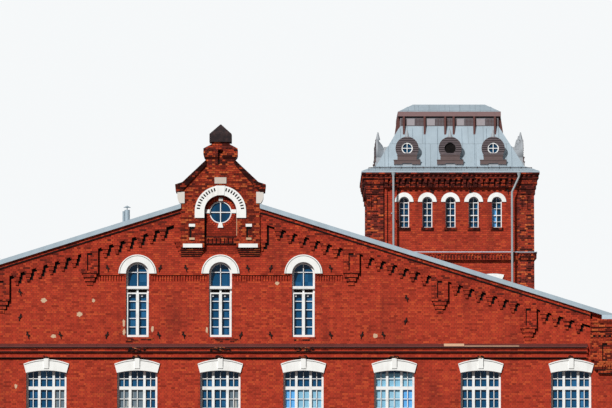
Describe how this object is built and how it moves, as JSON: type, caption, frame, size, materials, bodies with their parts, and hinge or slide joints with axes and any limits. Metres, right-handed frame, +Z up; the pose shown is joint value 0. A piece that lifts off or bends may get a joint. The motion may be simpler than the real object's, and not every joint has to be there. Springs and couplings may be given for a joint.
{
  "type": "factory building",
  "caption": "Wide gabled brick factory block with an ornate masonry dormer on its apex and a square stair tower under a metal mansard roof.",
  "frame": {"origin": "on the ground in the middle of the plan", "axes": "+X to the right along the gabled front, +Y from the front to the rear, +Z up"},
  "size_m": [31.5, 23.78, 19.9],
  "materials": {
    "brick": "matte",
    "dark_brick": "matte",
    "plinth_stone": "matte",
    "floor_concrete": "matte",
    "white_plaster": "matte",
    "white_timber": "satin",
    "door_timber": "satin",
    "louvre_timber": "matte",
    "strut_timber": "matte",
    "painted_flashing": "satin",
    "grey_sheet": "satin",
    "weathered_sheet": "matte",
    "rusted_sheet": "matte",
    "window_glass": "gloss"
  },
  "bodies": {
    "root": {"front_wall": "brick", "rear_wall": "brick", "right_wall": "brick", "left_wall": "brick", "plinth": "plinth_stone", "string_course": "brick", "string_flashing": "painted_flashing", "front_window_hoods": "white_plaster", "rear_window_hoods": "white_plaster", "side_window_hoods": "white_plaster", "arched_window_hoods": "white_plaster", "front_window_frames": "white_timber", "rear_window_frames": "white_timber", "side_window_frames": "white_timber", "arched_window_frames": "white_timber", "front_glass": "window_glass", "rear_glass": "window_glass", "side_glass": "window_glass", "entrance_doors": "door_timber", "corbel_tables": "brick", "rear_raking_band": "brick", "hanging_brackets": "brick", "corner_brackets": "brick", "soldier_course": "brick", "aedicule_body": "brick", "aedicule_foot": "brick", "aedicule_coping": "dark_brick", "aedicule_arch": "white_plaster", "aedicule_stones": "white_plaster", "pinnacle_shaft": "brick", "pinnacle_cap": "rusted_sheet", "round_window_frame": "white_timber", "round_window_glass": "window_glass", "left_roof": "grey_sheet", "right_roof_front": "grey_sheet", "right_roof_rear": "grey_sheet", "right_roof_upper": "grey_sheet", "right_roof_lower": "grey_sheet", "ridge_cap": "grey_sheet", "eaves_slabs": "grey_sheet", "ground_floor": "floor_concrete", "first_floor": "floor_concrete", "attic_floor": "floor_concrete", "tower_walls": "brick", "tower_floor": "floor_concrete", "tower_string_course": "brick", "tower_cornice": "brick", "tower_window_hoods": "white_plaster", "tower_window_frames": "white_timber", "tower_glass": "window_glass", "tower_skirt_roof": "grey_sheet", "mansard_roof": "grey_sheet", "round_dormers": "weathered_sheet", "lantern_wall": "louvre_timber", "lantern_struts": "strut_timber", "lantern_fascia": "strut_timber", "lantern_roof": "grey_sheet", "downpipes": "grey_sheet", "flue_pipe": "grey_sheet", "tower_corbelling": "brick"}
  },
  "joints": []
}
